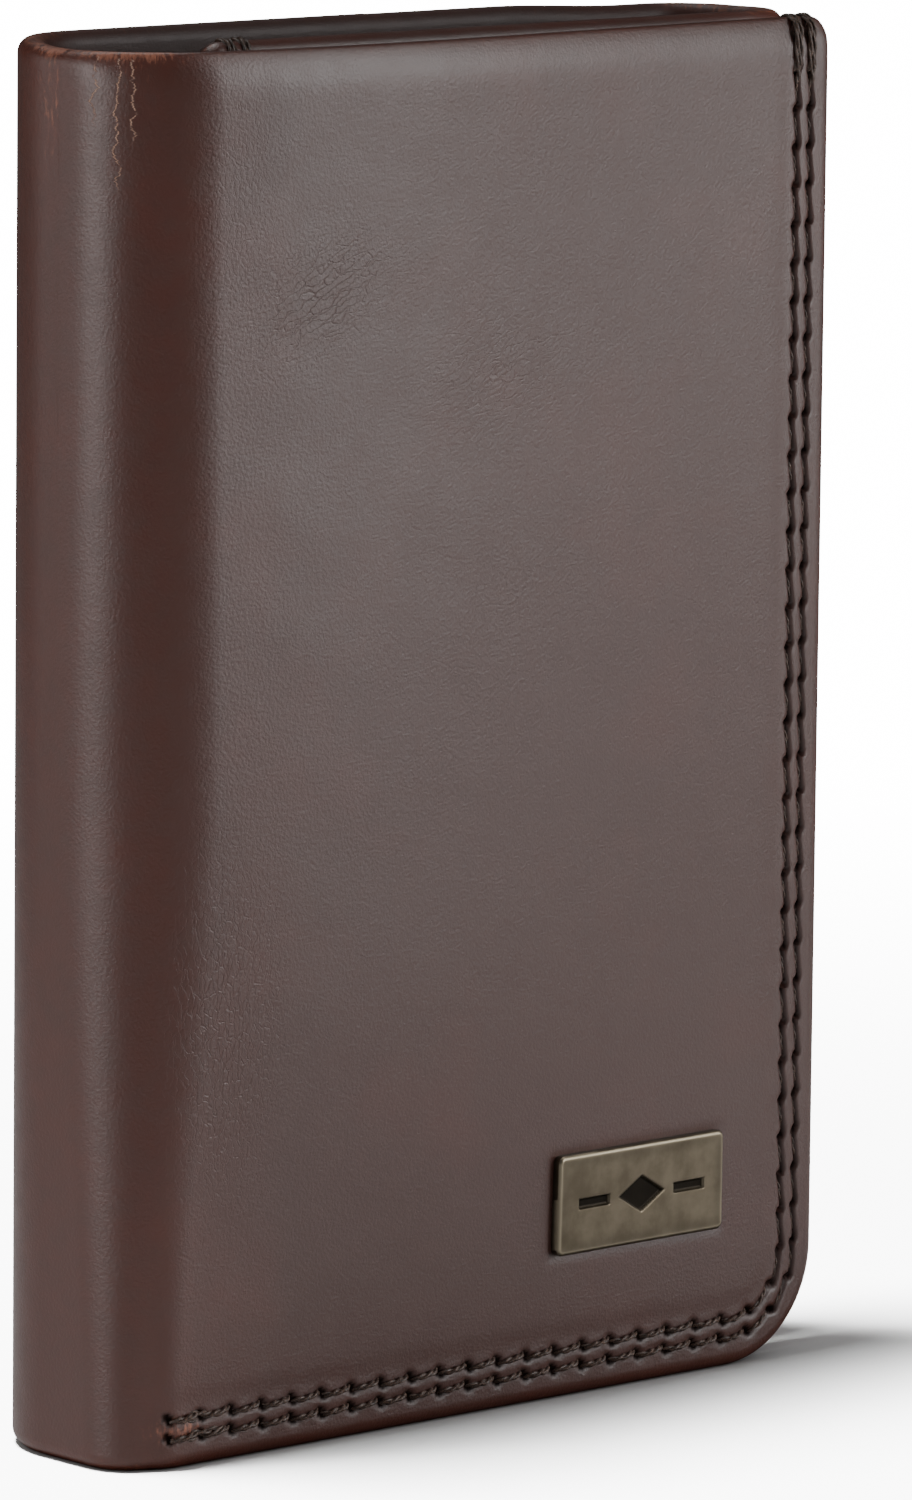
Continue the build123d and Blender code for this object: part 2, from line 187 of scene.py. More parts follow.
def corner_swell(s, sheet, radius):
    """How far a corner of another radius stands off the sheet's own corner, along its normals."""
    own = sheet.radius
    angle = np.clip((s - sheet.run) / own, 0, math.pi / 2)
    flat = own + np.maximum(sheet.run - s, 0) + np.maximum(s - sheet.bend_end, 0)
    inward = np.maximum(radius - flat, 0)
    on_flat = np.sqrt(np.maximum(radius**2 - inward**2, 0)) - radius
    more, both = radius - own, np.cos(angle) + np.sin(angle)
    circle = -more * both + np.sqrt(np.maximum(radius**2 - more**2 * (2 - both**2), 0))
    plane = own / np.maximum(np.cos(angle), np.sin(angle))
    tangent = np.minimum(np.tan(angle), 1 / np.tan(np.maximum(angle, 1e-6)))
    polar = np.where(tangent * own < own - radius, plane, circle)
    in_bend = (s > sheet.run) & (s < sheet.bend_end)
    return np.where(in_bend, polar - own, on_flat)


def front_crown(s, z):
    """The front flap bulges between its bend and its free edge, and lies flat along its foot."""
    high = np.asarray(z) / HEIGHT
    run = np.maximum(s - FRONT.bend_end + 5.0, 0) / 6.0
    rise = 1 - (1 + run) * np.exp(-run)
    fall = smooth(FRONT.length - s, 0, CROWN_FALL)
    flare = CROWN_FLARE * np.clip((high - 0.70) / 0.30, 0, 1) ** 2
    return rise * fall * (CROWN * smooth(high, -0.06, 0.36) + flare)


def front_swell(s, z):
    """The crown, and a bend that is tight at the foot and opens out towards the head."""
    high = np.asarray(z) / HEIGHT
    radius = FOOT_BEND_RADIUS + HEAD_BEND_GROWTH * smooth(high, -0.05, 0.52)
    pinch = BEND_PINCH * hump(s, FRONT.bend_end - 4.2, 1.5) * (1 - smooth(high, 0.02, 0.22))
    return corner_swell(s, FRONT, radius) + pinch * smooth(s, 0.0, 4.0) + front_crown(s, z)


FRONT.swell = front_swell
SPINE.rise = lambda s: SPINE_LIFT * smooth(s, 0.5, 9)
BACK.rise = lambda s: BACK_LIFT * smooth(s, 12, 26)
INNER.swell = lambda s, z: FOLD_BULGE * hump(s, 5.2, 3.4) * smooth(s, 0, 3) * (1 - smooth(s, 9, 12))


# -------- meshes
def new_mesh(name, points, faces, material, smooth_angle=40):
    """Mesh object from millimetre points, with outward normals and smooth shading."""
    mesh = bpy.data.meshes.new(name)
    mesh.from_pydata((np.asarray(points) * MM).tolist(), [], faces)
    mesh.validate()
    mesh.shade_smooth()
    mesh.set_sharp_from_angle(angle=math.radians(smooth_angle))
    piece = bpy.data.objects.new(name, mesh)
    bpy.context.scene.collection.objects.link(piece)
    piece.data.materials.append(material)
    return piece


def outward(piece):
    """Turns every face of a closed mesh outwards."""
    shell = bmesh.new()
    shell.from_mesh(piece.data)
    bmesh.ops.recalc_face_normals(shell, faces=shell.faces)
    shell.to_mesh(piece.data)
    shell.free()


def grid(columns, rows):
    """Vertex numbers of a grid, and the quads between them."""
    index = np.arange(columns * rows).reshape(columns, rows)
    quads = np.stack([index[:-1, :-1], index[1:, :-1], index[1:, 1:], index[:-1, 1:]], axis=-1)
    return index, quads.reshape(-1, 4)


def tube(first, strings, steps):
    """Faces of a closed tube whose strings of points follow each other, with a cap at each end."""
    starts = [first + k * steps for k in range(strings)]
    faces = []
    for a, b in zip(starts, starts[1:] + starts[:1]):
        faces += [[a + i, b + i, b + i + 1, a + i + 1] for i in range(steps - 1)]
    return faces + [starts, [start + steps - 1 for start in starts]]


def round_corner(a, b, radius):
    """How far out and up a point lies in a rounded corner, from its place (a, b) in the square one."""
    return radius * a * np.sqrt(1 - b * b / 2), radius * b * np.sqrt(1 - a * a / 2)


def finish_piece(piece, slot, *nodes):
    """Hides the CAD nodes that a piece stands in for; the piece and the slot are not used."""
    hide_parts(*nodes)


def graded(*stops):
    """Positions from stop to stop; each stop is (position, step used after it)."""
    parts = []
    for (start, step), (end, _) in zip(stops, stops[1:]):
        count = max(1, round((end - start) / step))
        parts.append(np.linspace(start, end, count, endpoint=False))
    return np.concatenate(parts + [[stops[-1][0]]])


class Border:
    """Edge of a sheet in leather coordinates. A free end has rounded corners, a cut end is straight."""

    def __init__(self, start, end, low, high, free, foot=FOOT_RADIUS, head=HEAD_RADIUS):
        self.start, self.end, self.low, self.high, self.free = start, end, low, high, free
        self.foot, self.head = foot, head

    def point(self, u, v, inset):
        """Leather coordinates of unit coordinates on the sheet, drawn in from its edge by an inset."""
        end = self.end - self.free * inset
        s = self.start + u * (end - self.start)
        z = self.low + inset + v * (self.high - self.low - 2 * inset)
        corners = ((self.foot, self.low + self.foot, -1), (self.head, self.high - self.head, 1))
        for radius, centre, up in corners:
            left = radius - inset
            if not self.free or left <= 0:
                continue
            a = np.clip((s - (self.end - radius)) / left, 0, 1)
            b = np.clip(up * (z - centre) / left, 0, 1)
            both = (a > 0) & (b > 0)
            out, rise = round_corner(a, b, left)
            s = np.where(both, self.end - radius + out, s)
            z = np.where(both, centre + up * rise, z)
        return s, z

    def seam(self, p, inset):
        """Point and outward direction at distance p along a row: foot, rounded corner, free edge."""
        foot_run = self.end - self.foot - self.start if self.free else self.end - self.start
        radius = self.foot - inset
        angle = np.clip((p - foot_run) / radius, 0, math.pi / 2) if self.free else 0 * p
        rise = np.maximum(p - foot_run - radius * math.pi / 2, 0) if self.free else 0 * p
        s = self.start + np.minimum(p, foot_run) + radius * np.sin(angle)
        z = self.low + self.foot - radius * np.cos(angle) + rise
        return s, z, np.sin(angle), -np.cos(angle)

    def nearest(self, s, z, row):
        """Inset from the edge, distance along a row, and 0 at the foot to 1 at the free edge."""
        centre_s = self.end - self.foot if self.free else self.end
        centre_z = self.low + self.foot
        ds = np.maximum(s - centre_s, 0) * self.free
        dz = np.maximum(centre_z - z, 0)
        angle = np.where(ds + dz > 0, np.arctan2(ds, dz + 1e-9), 0)
        inset = self.foot - np.hypot(ds, dz)
        along = np.minimum(s, centre_s) - self.start + (self.foot - row) * angle
        along = along + np.maximum(z - centre_z, 0) * self.free * (ds > 0)
        return inset, along, angle / (math.pi / 2)


def slab(name, sheet, border, us, vs, rings, material, relief=None, bend=True):
    """Closed piece of leather: one dense face, rings that roll round its edge, and a plain far face.

    rings are (inset, depth) pairs; the first is the rim of the dense face."""
    first_inset, first_depth = rings[0]
    u, v = np.meshgrid(us, vs, indexing="ij")
    columns, rows = u.shape
    s, z = border.point(u.ravel(), v.ravel(), first_inset)
    height = relief(s, z) if relief else 0 * s
    coords = [np.stack([s, z, first_depth - height], axis=1)]

    index, top_quads = grid(columns, rows)
    quads = [top_quads]
    top = [(i, rows - 1) for i in range(columns)]
    foot = [(i, 0) for i in range(columns)]
    side = [(columns - 1, j) for j in range(rows - 2, 0, -1)]
    strips = [top + side + foot[::-1]] if border.free else [top, foot]

    total = columns * rows
    inner, starts = {}, {}
    for strip in strips:
        cells = np.array(strip)
        ring_u, ring_v = us[cells[:, 0]], vs[cells[:, 1]]
        before = index[cells[:, 0], cells[:, 1]]
        chain = [before]
        for inset, depth in rings[1:]:
            ring_s, ring_z = border.point(ring_u, ring_v, inset)
            outside = max(0.0, 1 - abs(depth - first_depth) / (COVER * 0.8))
            lift = relief(ring_s, ring_z) * outside if relief and outside else 0 * ring_s
            coords.append(np.stack([ring_s, ring_z, depth - lift], axis=1))
            after = total + np.arange(len(cells))
            total += len(cells)
            quads.append(np.stack([before[:-1], before[1:], after[1:], after[:-1]], axis=-1))
            before = after
            chain.append(after)
        inner.update({tuple(cell): number for cell, number in zip(strip, before)})
        for cell in (strip[0], strip[-1]):
            position = strip.index(cell)
            starts[cell] = [int(link[position]) for link in chain]

    faces = np.concatenate(quads).tolist()
    last = columns - 1
    for i in range(last):
        corners = [inner[(i, 0)], inner[(i + 1, 0)], inner[(i + 1, rows - 1)], inner[(i, rows - 1)]]
        faces.append([int(c) for c in corners])
    if border.free:
        faces.append([int(inner[(last, j)]) for j in range(rows)])
    for i in [0] if border.free else [0, last]:
        cut = [int(index[i, j]) for j in range(rows)]
        faces.append(cut + starts[(i, rows - 1)][1:] + starts[(i, 0)][:0:-1])

    coords = np.concatenate(coords)
    points = sheet.place(coords[:, 0], coords[:, 1], coords[:, 2])
    piece = new_mesh(name, points, faces, material)
    outward(piece)
    store_leather(piece, sheet, coords)
    if bend:
        sheet.bend(piece)
    else:
        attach(piece, sheet.panel)
    return piece


def store_leather(piece, sheet, coords):
    """Keeps the flat leather coordinates on the mesh, so that grain and wear stay put when it bends."""
    leather = coords.copy()
    leather[:, 0] = sheet.origin + sheet.direction * leather[:, 0]
    attribute = piece.data.attributes.new("leather", "FLOAT_VECTOR", "POINT")
    attribute.data.foreach_set("vector", leather.astype(np.float32).ravel())


def paint(piece, name, values):
    """Stores one number for each vertex."""
    attribute = piece.data.attributes.new(name, "FLOAT", "POINT")
    attribute.data.foreach_set("value", np.clip(values, 0, 1).astype(np.float32))


def roll(radius, steps, near=0.0):
    """Half-round edge: (inset, depth) pairs from one face to the other."""
    angles = np.linspace(0, math.pi, steps + 1)
    return [(radius * (1 - math.sin(a)), near + radius * (1 - math.cos(a))) for a in angles]


# -------- procedural materials
class Tree:
    """Short forms for the nodes that the materials share."""

    def __init__(self, owner):
        owner.use_nodes = True
        self.nodes, self.links = owner.node_tree.nodes, owner.node_tree.links

    def put(self, kind, inputs=None, **settings):
        node = self.nodes.new(kind)
        for key, value in settings.items():
            setattr(node, key, value)
        for key, value in (inputs or {}).items():
            if isinstance(value, bpy.types.NodeSocket):
                self.links.new(value, node.inputs[key])
            else:
                node.inputs[key].default_value = value
        return node

    def attribute(self, name, vector=False):
        node = self.put("ShaderNodeAttribute", attribute_name=name)
        return node.outputs["Vector" if vector else "Fac"]

    def math(self, operation, a, b=0.0, clamp=False):
        node = self.put("ShaderNodeMath", {0: a, 1: b}, operation=operation, use_clamp=clamp)
        return node.outputs[0]

    def add(self, a, b, clamp=False):
        return self.math("ADD", a, b, clamp)

    def subtract(self, a, b, clamp=False):
        return self.math("SUBTRACT", a, b, clamp)

    def multiply(self, a, b):
        return self.math("MULTIPLY", a, b)

    def mix(self, share, a, b):
        node = self.put("ShaderNodeMix", {"Factor": share, "A": a, "B": b}, data_type="RGBA")
        return node.outputs["Result"]

    def noise(self, vector, scale, detail=3.0, rough=0.5):
        values = {"Vector": vector, "Scale": scale, "Detail": detail, "Roughness": rough}
        return self.put("ShaderNodeTexNoise", values).outputs["Fac"]

    def stretch(self, vector, scale, turn=0.0):
        """Vector turned in the plane of the leather and then scaled."""
        values = {"Vector": vector, "Angle": turn}
        turned = self.put("ShaderNodeVectorRotate", values, rotation_type="Z_AXIS").outputs[0]
        return self.put("ShaderNodeVectorMath", {0: turned, 1: scale}, operation="MULTIPLY").outputs[0]

    def voronoi(self, vector, scale, feature="DISTANCE_TO_EDGE"):
        node = self.put("ShaderNodeTexVoronoi", {"Vector": vector, "Scale": scale}, feature=feature)
        return node.outputs["Distance"]

    def ramp(self, value, low, high, to_low=0.0, to_high=1.0):
        limits = {"Value": value, "From Min": low, "From Max": high, "To Min": to_low, "To Max": to_high}
        node = self.put("ShaderNodeMapRange", limits, interpolation_type="SMOOTHSTEP")
        return node.outputs["Result"]

    def bump(self, height, distance, strength=1.0, normal=None):
        values = {"Height": height, "Distance": distance, "Strength": strength}
        if normal is not None:
            values["Normal"] = normal
        return self.put("ShaderNodeBump", values).outputs["Normal"]

    def own_place(self):
        """The object's own coordinates, in metres."""
        return self.put("ShaderNodeTexCoord").outputs["Object"]


class Look(Tree):
    """A material built round its Principled shader."""

    def __init__(self, name):
        self.material = bpy.data.materials.new(name)
        super().__init__(self.material)
        self.shader = self.nodes["Principled BSDF"]

    def set(self, name, value):
        """Sets an input of the shader to a number or colour, or links a node to it."""
        if isinstance(value, bpy.types.NodeSocket):
            self.links.new(value, self.shader.inputs[name])
        else:
            self.shader.inputs[name].default_value = value


CRACKED = 17.0               # how far down from the head the bend's cracks reach
CRACK_LINES = tuple(
    (FRONT.bend_end + back, pace, reach)
    for back, pace, reach in ((-7.2, 0.50, 0.30), (-9.2, 0.83, 0.72), (-5.9, 0.64, 0.60))
)

BROWN = (0.0340, 0.0128, 0.0094, 1)
RED_BROWN = (0.060, 0.0148, 0.0088, 1)
MOTTLED = (0.042, 0.0158, 0.0108, 1)
WORN = (0.21, 0.070, 0.036, 1)
CRACKED_OPEN = (0.32, 0.18, 0.12, 1)
# Colour of the painted shade in stitch holes, stitch grooves and on the inside near the head.
PAINTED_SHADE_COLOUR = (0.004, 0.0024, 0.002, 1)
INNER_BROWN = (0.022, 0.0125, 0.0100)


def crack_mask(t, leather):
    """Thin wandering lines down from the head on the front flap's bend."""
    across = t.put("ShaderNodeSeparateXYZ", {0: leather}).outputs["X"]
    cracks = None
    for place, pace, reach in CRACK_LINES:
        wander = t.noise(t.stretch(leather, (0.02, pace, 0.0)), 1.0, 6.0, 0.75)
        wander = t.multiply(t.subtract(wander, 0.5), 2.8)
        away = t.math("ABSOLUTE", t.subtract(t.subtract(across, place), wander))
        shown = t.ramp(t.attribute("crack"), reach, reach + 0.2)
        line = t.multiply(t.ramp(away, 0.02, 0.10, 1.0, 0.0), shown)
        cracks = t.math("MAXIMUM", cracks, line) if cracks else line
    return t.multiply(cracks, t.ramp(t.noise(leather, 1.3, 4.0, 0.7), 0.36, 0.52))


def cover_leather():
    """Smooth oiled leather: dark brown, redder where it is stretched, tan and cracked where it is worn, with
    painted shade in its stitch holes and grooves and on its inner faces near the head.
    """
    t = Look("cover_leather")
    leather = t.attribute("leather", vector=True)
    cloud = t.noise(leather, 0.06, 4.0, 0.6)
    mottle = t.noise(leather, 0.45, 4.0, 0.65)
    grain = t.voronoi(leather, 4.4, "SMOOTH_F1")
    fine = t.noise(leather, 8.0, 3.0, 0.7)
    warp = t.put("ShaderNodeTexNoise", {"Vector": leather, "Scale": 0.9, "Detail": 3.0}).outputs["Color"]
    warped = t.put("ShaderNodeVectorMath", {0: leather, 1: warp}, operation="ADD").outputs["Vector"]
    slanted = t.voronoi(t.stretch(warped, (0.32, 1.8, 1.0), -0.45), 1.0)
    upright = t.voronoi(t.stretch(warped, (2.1, 0.7, 1.0)), 1.0)
    cracks = crack_mask(t, leather)

    red = t.ramp(cloud, 0.42, 0.72, -0.08, 0.22)
    red = t.add(t.multiply(t.attribute("red"), 0.9), red, clamp=True)
    base = t.mix(red, BROWN, RED_BROWN)
    base = t.mix(t.ramp(mottle, 0.35, 0.75, 0.0, 0.4), base, MOTTLED)
    flakes = t.noise(t.stretch(leather, (1.6, 0.45, 1.0)), 1.5, 6.0, 0.75)
    wear = t.add(t.attribute("wear"), t.ramp(flakes, 0.3, 0.7, -0.5, 0.35))
    wear = t.ramp(wear, 0.30, 0.95)
    # Wear and cracks are the leather's own colour; the last mask is painted shade in stitch holes, stitch grooves
    # and on the inside near the head.
    for mask, colour in ((wear, WORN), (cracks, CRACKED_OPEN), (t.attribute("painted_shade"), PAINTED_SHADE_COLOUR)):
        base = t.mix(mask, base, colour)
    t.set("Base Color", base)

    rough = t.add(t.ramp(mottle, 0.3, 0.8, 0.31, 0.39), t.ramp(fine, 0.3, 0.7, 0.0, 0.07))
    rough = t.add(rough, t.multiply(wear, 0.12))
    t.set("Roughness", t.add(rough, t.multiply(t.attribute("painted_shade"), 0.35)))

    creases = t.multiply(t.ramp(slanted, 0.0, 0.07, -1.0, 0.0), t.attribute("crease"))
    strained = t.multiply(t.ramp(upright, 0.0, 0.08, -1.0, 0.0), t.attribute("strain"))
    normal = None
    for height, distance, strength in (
        (creases, 0.04, 0.7),
        (strained, 0.03, 0.7),
        (cracks, 0.06, 0.8),
        (mottle, 0.03, 0.3),
        (grain, 0.04, 0.5),
        (fine, 0.03, 0.6),
    ):
        normal = t.bump(height, distance * MM, strength, normal)
    t.set("Normal", normal)
    # Gloss is taken away where the shade is painted, so that it stays dark.
    outside_painted_shade = t.subtract(1.0, t.attribute("painted_shade"), clamp=True)
    t.set("Specular IOR Level", t.multiply(outside_painted_shade, 0.6))
    t.set("Coat Weight", t.multiply(outside_painted_shade, 0.12))
    t.set("Coat Roughness", 0.28)
    return t.material


def plain_leather(name, colour, rough, grain_size, flat=False):
    """Leather of the inside pieces; flat ones take their grain from the object's own coordinates."""
    t = Look(name)
    leather = t.attribute("leather", vector=True)
    if flat:
        leather = t.stretch(t.own_place(), (1 / MM, 1 / MM, 1 / MM))
    mottle = t.noise(leather, 0.3, 4.0, 0.6)
    darker = tuple(channel * 0.7 for channel in colour) + (1,)
    base = t.mix(t.ramp(mottle, 0.3, 0.7), colour + (1,), darker)
    t.set("Base Color", base)
    t.set("Roughness", t.ramp(mottle, 0.3, 0.8, rough - 0.05, rough + 0.08))
    normal = t.bump(t.voronoi(leather, grain_size, "SMOOTH_F1"), 0.00008, 0.6)
    t.set("Normal", t.bump(t.noise(leather, 6.0), 0.00003, 0.5, normal))
    return t.material


def thread_material():
    """Twisted waxed thread: dark brown with lighter fibres; the lighter flecks are partly painted glints."""
    t = Look("thread")
    leather = t.attribute("leather", vector=True)
    fibre = t.noise(leather, 9.0, 2.0)
    base = t.mix(t.ramp(fibre, 0.35, 0.7), (0.014, 0.008, 0.006, 1), (0.075, 0.042, 0.028, 1))
    t.set("Base Color", base)
    t.set("Normal", t.bump(fibre, 0.00005, 0.7))
    t.set("Roughness", 0.42)
    return t.material


def brass_material():
    """Antiqued brass: dark in the hollows, bright and scratched on the rims."""
    t = Look("antique_brass")
    place = t.own_place()
    cloud = t.noise(place, 420.0, 4.0, 0.6)
    along = {0: place, 1: (1.0, 1.0, 0.06)}
    stretched = t.put("ShaderNodeVectorMath", along, operation="MULTIPLY").outputs[0]
    brushed = t.noise(stretched, 5200.0, 2.0, 0.6)
    base = t.mix(t.ramp(cloud, 0.3, 0.75), (0.095, 0.076, 0.052, 1), (0.165, 0.137, 0.098, 1))
    base = t.mix(t.multiply(t.attribute("hollow"), 0.95), base, (0.012, 0.010, 0.008, 1))
    base = t.mix(t.attribute("rim"), base, (0.42, 0.36, 0.26, 1))
    t.set("Base Color", base)
    t.set("Metallic", 1.0)
    t.set("Roughness", t.ramp(cloud, 0.3, 0.8, 0.34, 0.5))
    t.set("Normal", t.bump(brushed, 0.00001, 0.5))
    return t.material


def woven(name, colour, scale):
    """Fine plain weave for linings and boards."""
    t = Look(name)
    place = t.own_place()
    waves = [
        t.put("ShaderNodeTexWave", {"Vector": place, "Scale": scale}, bands_direction=axis).outputs["Fac"]
        for axis in ("X", "Z")
    ]
    weave = t.math("MAXIMUM", waves[0], waves[1])
    darker = tuple(channel * 0.5 for channel in colour) + (1,)
    t.set("Base Color", t.mix(weave, darker, colour + (1,)))
    t.set("Normal", t.bump(weave, 0.00005, 0.5))
    t.set("Roughness", 0.85)
    return t.material


def clear_film():
    """Thin clear plastic with a faint orange-peel surface."""
    t = Look("clear_film")
    place = t.own_place()
    t.set("Base Color", (0.8, 0.82, 0.84, 1))
    t.set("Roughness", 0.08)
    t.set("Alpha", 0.28)
    t.set("Normal", t.bump(t.noise(place, 90.0), 0.0004, 0.2))
    return t.material


COVER_LEATHER = cover_leather()
INNER_LEATHER = plain_leather("inner_leather", INNER_BROWN, 0.42, 2.6)
FLAT_LEATHER = plain_leather("flat_inner_leather", INNER_BROWN, 0.42, 2.6, flat=True)
LINING_CLOTH = woven("lining_cloth", (0.030, 0.022, 0.019), 900.0)
BOARD = woven("stiffener_board", (0.30, 0.22, 0.15), 600.0)
THREAD = thread_material()
BRASS = brass_material()
STEEL = woven("washer_steel", (0.35, 0.35, 0.36), 1500.0)
FILM = clear_film()


# -------- relief of the stitched leather
class Seam:
    """Two rows of slanted stitches along the foot of a sheet, and up its free edge if it has one."""

    def __init__(self, sheet, start, free):
        self.border = Border(0.0, sheet.length, 0.0, HEIGHT, free)
        self.rows = []
        for inset in SEAM_INSETS:
            full = self.length(inset) - SEAM_TOP * free
            count = int((full - start) // STITCH)
            self.rows.append((inset, start, (full - start) / count, count))

    def length(self, inset):
        """Length of a row: along the foot, and for a free end also round the corner and up."""
        b = self.border
        if not b.free:
            return b.end - b.start
        arc = (b.foot - inset) * math.pi / 2
        return b.end - b.start - b.foot + arc + b.high - b.low - b.foot

    def relief(self, s, z):
        """Height of the leather round the seam, and the painted shade of its holes and of the grooves under its
        threads.
        """
        height, painted_shade = 0.0 * s, 0.0 * s
        # Each stitch presses a trough into the leather and ends in a slanted hole; on the upright
        # free edge the troughs are deeper and the holes smaller.
        for inset, start, pitch, count in self.rows:
            edge, along, upright = self.border.nearest(s, z, inset)
            phase = (along - start) / pitch
            used = smooth(phase, -0.35, 0.0) * (1 - smooth(phase, count, count + 0.35))
            part = phase - np.floor(phase)
            across = edge - inset - SLANT * (part - 0.5)
            trough = hump(across, 0, 0.34 - 0.17 * upright) * (0.03 + 0.27 * upright)
            near = (phase - np.round(phase)) * pitch
            out = inset - edge
            narrow = near * math.cos(HOLE_TILT) - out * math.sin(HOLE_TILT)
            wide = near * math.sin(HOLE_TILT) + out * math.cos(HOLE_TILT)
            size = 1 - 0.4 * upright
            hole = np.exp(-((narrow / (0.33 * size)) ** 2) - (wide / (0.52 * size)) ** 2)
            height -= used * (trough + (0.30 + 0.4 * upright) * hole)
            groove = hump(across, 0, 0.28 - 0.13 * upright)
            # Painted shade: each hole and the groove under each thread are darkened in colour.
            painted_shade += used * (smooth(hole, 0.06, 0.4) + (0.20 + 0.70 * upright) * groove)
        edge, along, _ = self.border.nearest(s, z, SEAM_INSETS[0])
        between = sum(SEAM_INSETS) / 2
        sewn = smooth(along, self.rows[0][1] - 2.5, self.rows[0][1])
        height += sewn * (0.02 * hump(edge, between, 0.4) - 0.05 * hump(edge, SEAM_INSETS[1] + 1.0, 0.9))
        return height, np.clip(painted_shade, 0, 1)

    def height(self, s, z):
        """Only the height of the leather round the seam."""
        return self.relief(s, z)[0]


def front_wrinkles(s, z):
    """Soft unevenness of the front flap, stronger where the leather has been flexed."""
    flexed = hump(s, FRONT.bend_end + 14, 16) * hump(z, 78, 26)
    wave = np.sin(0.62 * s + 0.21 * z) * np.sin(0.47 * z - 0.18 * s + 1.0)
    wave += np.sin(0.37 * s - 0.29 * z + 2.0) * np.sin(0.33 * z + 0.41 * s)
    return (0.004 + 0.008 * flexed) * wave


def crease_patches(s, z):
    """Where short slanted creases show on the front flap."""
    first = hump(s, FRONT.bend_end + 11, 6) * hump(z, 89 + 0.3 * (s - FRONT.bend_end - 11), 4)
    second = 0.6 * hump(s, FRONT.bend_end + 29, 8) * hump(z, 82, 5)
    return np.clip(first + second, 0, 1)


def strain_patches(s, z):
    """Where the grain is pulled into fine upright cracks beside the bend."""
    low = hump(s, FRONT.bend_end + 2, 5) * hump(z, 34, 13)
    head = 0.4 * hump(s, FRONT.bend_end + 3, 4) * hump(z, 98, 12)
    return np.clip(low + head, 0, 1)


FRONT_SEAM = Seam(FRONT, FRONT.bend_end - FRONT_SEAM_LEAD, 1)
INNER_SEAM = Seam(INNER, INNER.bend_end + SEAM_GAP, 1)
SPINE_SEAM = Seam(SPINE, SPINE.bend_end + SEAM_GAP, 0)
BACK_SEAM = Seam(BACK, BACK.bend_end + SEAM_GAP, 0)


def plaque_bed(s, z):
    """The leather dips along the outline of the plaque that is pressed into it."""
    centre_s = FRONT.along((PLAQUE_LOW[0] + PLAQUE_HIGH[0]) / 2)
    centre_z = (PLAQUE_LOW[2] + PLAQUE_HIGH[2]) / 2
    half = (PLAQUE_HIGH - PLAQUE_LOW) / 2
    gap = np.maximum(np.abs(s - centre_s) - half[0], np.abs(z - centre_z) - half[2])
    return -0.13 * (1 - smooth(gap, -0.6, 0.9))


def front_relief(s, z):
    """Everything that makes the front flap's outer face uneven."""
    head = -0.55 * hump(HEIGHT - z, 0, 1.6)
    return FRONT_SEAM.height(s, z) + front_wrinkles(s, z) + plaque_bed(s, z) + head * smooth(s, 0, 6)


HEM_ROLL = HEM / 2
EDGE_BAND = 4.5              # band along a free edge with a finer mesh for its seam
COVER_RINGS = roll(HEM_ROLL, 12) + [(3.0, HEM), (HEM_WIDTH, HEM), (HEM_WIDTH, COVER)]


def unit(positions):
    """Positions scaled to run from 0 to 1."""
    return (positions - positions[0]) / (positions[-1] - positions[0])


def make_cover(name, sheet, seam, step, relief, *nodes):
    """One sheet of cover leather, with its hems rolled over, its masks of wear and its painted shade."""
    border = seam.border
    end = border.end - border.free * HEM_ROLL
    fine_from = end - EDGE_BAND if border.free else end - 1.0
    us = unit(graded((0.0, 0.1), (0.4, step), (fine_from, step / 2), (end, step)))
    top = HEIGHT - HEM_ROLL
    vs = unit(graded((HEM_ROLL, step / 2), (5.0, step), (HEIGHT - 9, step * 0.8), (top, step)))
    piece = slab(name, sheet, border, us, vs, COVER_RINGS, COVER_LEATHER, relief)
    count = len(piece.data.vertices)
    leather = np.zeros(count * 3, np.float32)
    piece.data.attributes["leather"].data.foreach_get("vector", leather)
    leather = leather.reshape(-1, 3).astype(float)
    s, z = (leather[:, 0] - sheet.origin) * sheet.direction, leather[:, 1]
    painted_shade = seam.relief(s, z)[1]
    # Painted shade: the inner faces darken towards the head, where the inside of the wallet is in shade; the outer
    # face gets the painted shade of the stitch holes and grooves.
    shade = 0.45 * hump(HEIGHT - z, 0.0, 6.0) * smooth(leather[:, 2], 1.0, 2.0)
    paint(piece, "painted_shade", np.maximum(painted_shade * (leather[:, 2] < COVER / 2), shade))
    paint_wear(piece, sheet, border, s, z, leather[:, 2])
    finish_piece(piece, "cover_leather", *nodes)


